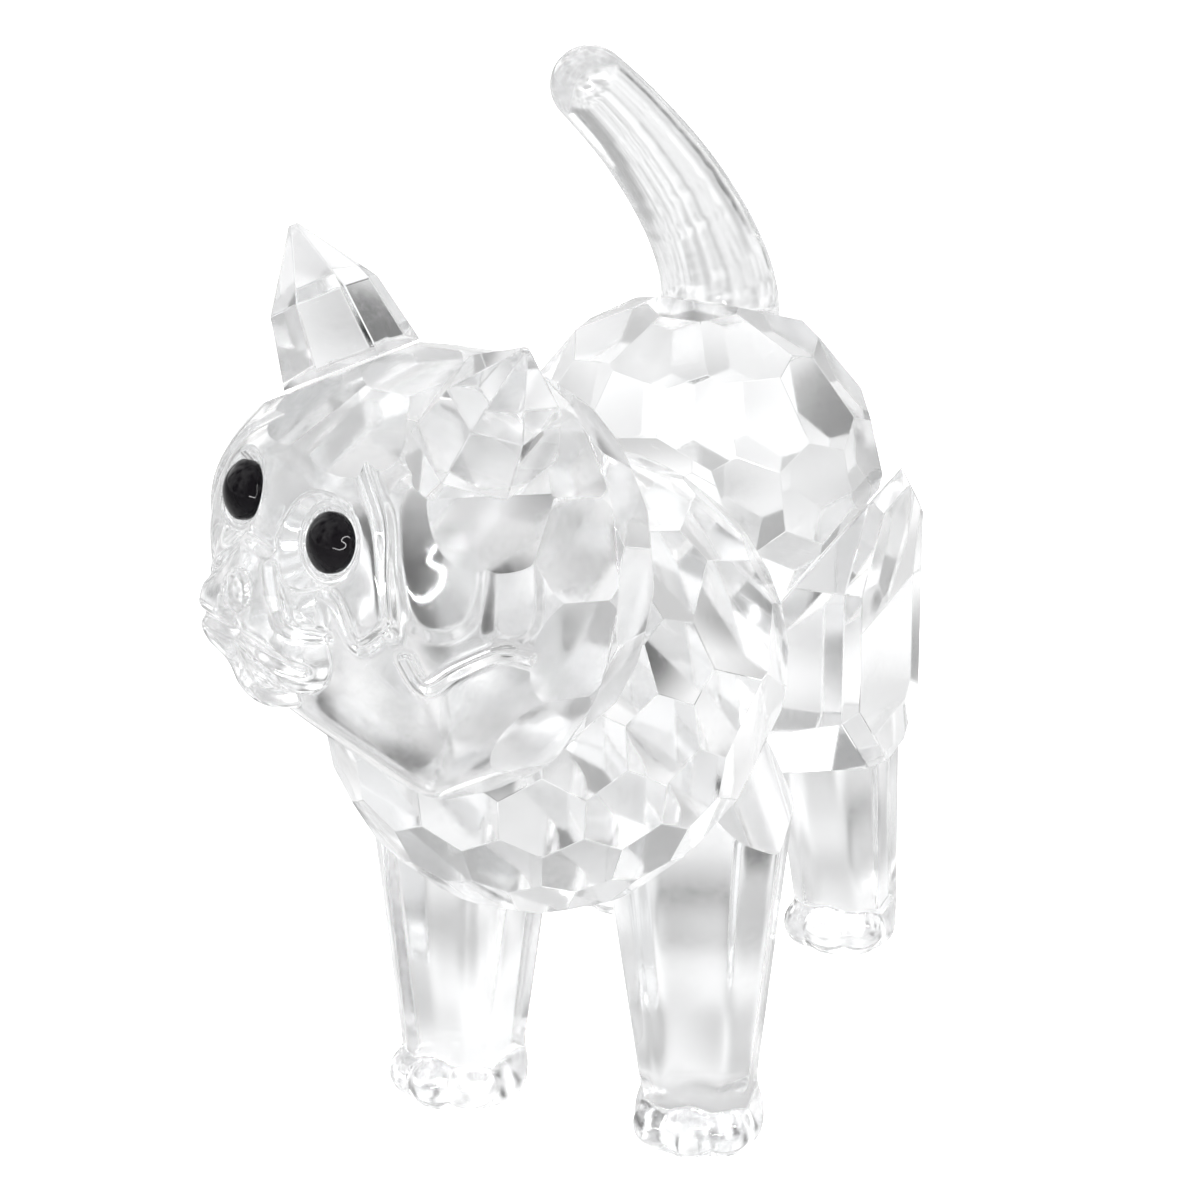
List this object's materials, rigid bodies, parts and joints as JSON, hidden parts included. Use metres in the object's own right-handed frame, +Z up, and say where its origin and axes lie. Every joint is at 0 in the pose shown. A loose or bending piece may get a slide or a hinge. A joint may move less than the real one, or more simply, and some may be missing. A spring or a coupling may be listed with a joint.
{
  "type": "cat figurine",
  "caption": "Small standing cat figurine in clear cut crystal: faceted head, chest and rump balls, moulded face and legs, pointed ears, curved tail and black stone eyes.",
  "frame": {"origin": "on the ground, under the centre of the bounding box", "axes": "+Z up, the body faces -Y, the cat's left side is +X; the head turns towards the cat's right"},
  "size_m": [0.021, 0.0506, 0.0488],
  "materials": {
    "crystal": "clear cut crystal, polished facets and fire-polished moulded surfaces",
    "eye_stone": "opaque black, highly polished cabochon",
    "adhesive": "clear cured adhesive film between ground flats"
  },
  "bodies": {
    "root": {"chest": "crystal", "rump": "crystal", "head_back": "crystal", "face": "crystal", "ear_left": "crystal", "ear_right": "crystal", "front_leg_left": "crystal", "front_leg_right": "crystal", "thigh_left": "crystal", "thigh_right": "crystal", "hind_leg_left": "crystal", "hind_leg_right": "crystal", "tail": "crystal", "eye_left": "eye_stone", "eye_right": "eye_stone", "glue_neck": "adhesive", "glue_waist": "adhesive", "glue_face": "adhesive", "glue_ear_left": "adhesive", "glue_ear_right": "adhesive", "glue_eye_left": "adhesive", "glue_eye_right": "adhesive", "glue_front_leg_left": "adhesive", "glue_front_leg_right": "adhesive", "glue_thigh_left": "adhesive", "glue_thigh_right": "adhesive", "glue_hind_leg_left": "adhesive", "glue_hind_leg_right": "adhesive", "glue_tail": "adhesive"}
  },
  "joints": []
}
